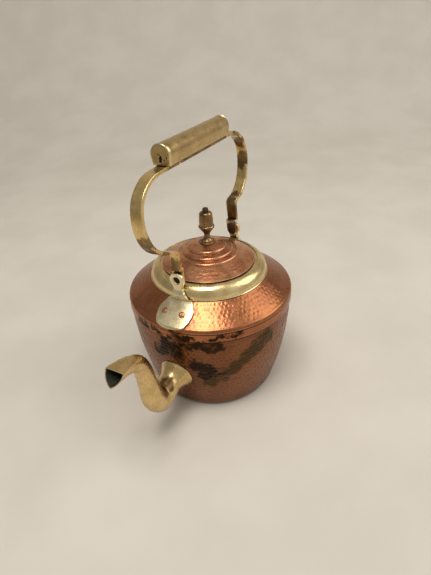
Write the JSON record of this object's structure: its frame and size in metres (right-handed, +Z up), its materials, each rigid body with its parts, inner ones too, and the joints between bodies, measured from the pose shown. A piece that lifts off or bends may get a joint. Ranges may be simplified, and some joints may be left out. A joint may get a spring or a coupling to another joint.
{
  "type": "stovetop kettle",
  "caption": "Hammered copper stovetop kettle with a brass swan-neck spout, lift-off lid with acorn finial, and swinging brass bail handle.",
  "frame": {"origin": "middle of the flat base, where it stands on the hob", "axes": "+Z up through the finial, +X towards the spout; the handle hinges about the X direction"},
  "size_m": [0.2959, 0.192, 0.303],
  "materials": {
    "copper_hammered": "planished copper, worn satin with brown tarnish",
    "copper_dark": "copper darkened by heat",
    "copper_lid": "spun copper, satin",
    "copper_rivet": "copper, polished head",
    "brass_collar": "rolled brass with olive patina",
    "brass_spout": "cast brass, filed and worn",
    "brass_lug": "pale cast brass, pitted",
    "brass_strap": "satin brass with brown patina",
    "brass_grip": "rolled brass, fine scratches",
    "brass_cap": "brass, pitted",
    "bronze_finial": "cast brass, aged dark",
    "dark_iron": "blackened iron"
  },
  "bodies": {
    "kettle": {"base_pan": "copper_dark", "body_wall": "copper_hammered", "shoulder": "copper_hammered", "collar_ring": "brass_collar", "spout": "brass_spout", "lug_front": "brass_lug", "lug_rear": "brass_lug", "lug_rivets_front": "copper_rivet", "lug_rivets_rear": "copper_rivet", "pivot_pin_front": "dark_iron", "pivot_pin_rear": "dark_iron"},
    "lid": {"lid_cap": "copper_lid", "lid_bezel": "brass_collar", "finial": "bronze_finial", "finial_stud": "dark_iron", "finial_washer": "brass_collar", "finial_nut": "brass_collar"},
    "handle": {"handle_strap": "brass_strap", "grip_tube": "brass_grip", "grip_cap_front": "brass_cap", "grip_cap_rear": "brass_cap"}
  },
  "joints": [
    {"name": "handle_swing", "type": "hinge", "parent": "kettle", "child": "handle", "pos_m": [0, 0, 0.1676], "axis": [1, 0, 0], "range_deg": [-115, 108]},
    {"name": "lid_lift", "type": "slide", "parent": "kettle", "child": "lid", "axis": [0, 0, 1], "range_m": [0, 0.045]}
  ]
}
